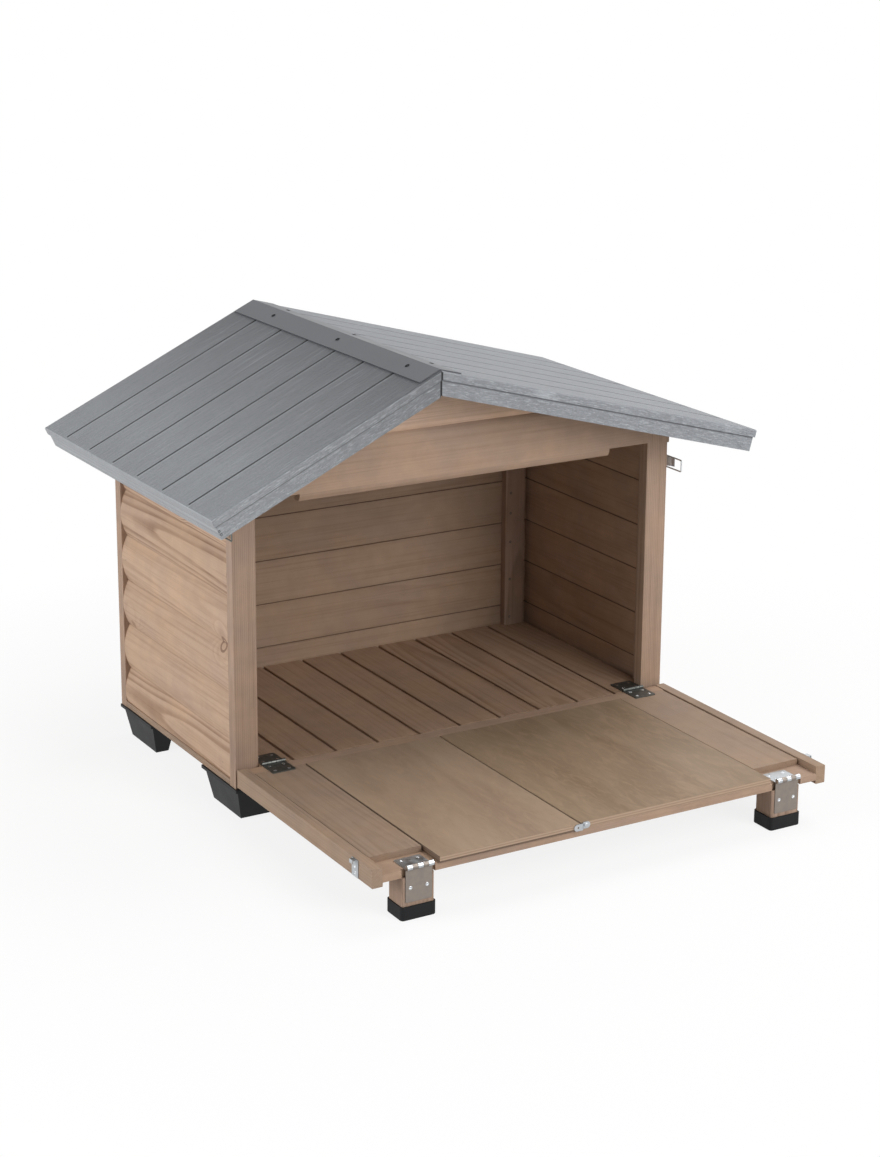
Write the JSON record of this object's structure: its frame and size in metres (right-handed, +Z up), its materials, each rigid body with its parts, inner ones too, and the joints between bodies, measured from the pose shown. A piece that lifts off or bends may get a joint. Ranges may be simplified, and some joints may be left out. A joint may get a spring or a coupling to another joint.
{
  "type": "dog house",
  "caption": "Timber dog house with half-log walls, an off-centre grey gable roof and a front wall that folds down on legs as a terrace.",
  "frame": {"origin": "on the ground under the middle of the whole object's outline, with the terrace down", "axes": "+Z up, +Y from the open front with its terrace to the back wall, +X to the right seen from the front"},
  "size_m": [1.2265, 1.219, 0.8822],
  "materials": {
    "wall_timber": "stained pine, planed",
    "floor_timber": "stained pine, planed",
    "terrace_timber": "stained pine, planed",
    "roof_left": "moulded with a wood grain emboss",
    "roof_right": "moulded with a wood grain emboss",
    "ridge_cap": "satin",
    "black_plastic": "moulded",
    "rubber": "matt",
    "zinc_steel": "zinc plated"
  },
  "bodies": {
    "house": {"back_wall_logs": "wall_timber", "base_rail_left": "wall_timber", "base_rail_right": "wall_timber", "eave_cleat_left": "wall_timber", "eave_cleat_right": "wall_timber", "floor_bearer_back": "floor_timber", "floor_bearer_front": "floor_timber", "floor_bearer_middle": "floor_timber", "floor_slats": "floor_timber", "foot_front_left": "black_plastic", "foot_front_right": "black_plastic", "foot_rear_left": "black_plastic", "foot_rear_right": "black_plastic", "front_batten_left": "wall_timber", "front_batten_right": "wall_timber", "front_gable_board": "wall_timber", "front_post_left": "wall_timber", "front_post_right": "wall_timber", "header_board": "wall_timber", "house_hinge_left": "zinc_steel", "house_hinge_right": "zinc_steel", "latch_base_left": "zinc_steel", "latch_base_right": "zinc_steel", "left_wall_logs": "wall_timber", "rear_batten_left": "wall_timber", "rear_batten_right": "wall_timber", "rear_post_left": "wall_timber", "rear_post_right": "wall_timber", "ridge_cap": "ridge_cap", "right_wall_logs": "wall_timber", "roof_panel_left": "roof_left", "roof_panel_right": "roof_right"},
    "front_panel": {"catch_left": "zinc_steel", "catch_right": "zinc_steel", "centre_board": "terrace_timber", "door_board": "terrace_timber", "hinge_rail": "terrace_timber", "outer_rail": "terrace_timber", "panel_hinge_left": "zinc_steel", "panel_hinge_right": "zinc_steel", "panel_trim_left": "terrace_timber", "panel_trim_right": "terrace_timber", "rail_hinge_left": "zinc_steel", "rail_hinge_right": "zinc_steel", "stile_board_left": "terrace_timber", "stile_board_right": "terrace_timber", "swivel_screw": "zinc_steel"},
    "swivel": {"swivel_plate": "zinc_steel"},
    "leg_left": {"leg_block_left": "terrace_timber", "leg_cap_left": "rubber", "leg_hinge_left": "zinc_steel"},
    "lever_left": {"latch_lever_left": "zinc_steel"},
    "bail_left": {"latch_bail_left": "zinc_steel"},
    "leg_right": {"leg_block_right": "terrace_timber", "leg_cap_right": "rubber", "leg_hinge_right": "zinc_steel"},
    "lever_right": {"latch_lever_right": "zinc_steel"},
    "bail_right": {"latch_bail_right": "zinc_steel"}
  },
  "joints": [
    {"name": "front_panel_fold", "type": "hinge", "parent": "house", "child": "front_panel", "pos_m": [-0.0082, -0.0645, 0.1125], "axis": [-1, 0, 0], "range_deg": [0, 90]},
    {"name": "swivel_turn", "type": "hinge", "parent": "front_panel", "child": "swivel", "pos_m": [-0.0627, -0.6005, 0.103], "axis": [0, -1, 0], "range_deg": [0, 180]},
    {"name": "leg_fold_left", "type": "hinge", "parent": "front_panel", "child": "leg_left", "pos_m": [-0.4162, -0.6045, 0.102], "axis": [-1, 0, 0], "range_deg": [0, 265]},
    {"name": "leg_fold_right", "type": "hinge", "parent": "front_panel", "child": "leg_right", "pos_m": [0.3998, -0.6045, 0.102], "axis": [-1, 0, 0], "range_deg": [0, 265]},
    {"name": "lever_turn_left", "type": "hinge", "parent": "house", "child": "lever_left", "pos_m": [-0.5162, -0.0145, 0.5885], "axis": [0, 0, -1], "range_deg": [0, 145]},
    {"name": "lever_turn_right", "type": "hinge", "parent": "house", "child": "lever_right", "pos_m": [0.4998, -0.0145, 0.5885], "axis": [0, 0, 1], "range_deg": [0, 145]},
    {"name": "bail_swing_left", "type": "hinge", "parent": "lever_left", "child": "bail_left", "pos_m": [-0.52234, -0.02108, 0.5885], "axis": [0, 0, -1], "range_deg": [-145, 0]},
    {"name": "bail_swing_right", "type": "hinge", "parent": "lever_right", "child": "bail_right", "pos_m": [0.50594, -0.02108, 0.5885], "axis": [0, 0, 1], "range_deg": [-145, 0]}
  ],
  "couplings": [
    {"joint": "bail_swing_left", "follows": "lever_turn_left", "ratio": -1},
    {"joint": "bail_swing_right", "follows": "lever_turn_right", "ratio": -1}
  ]
}
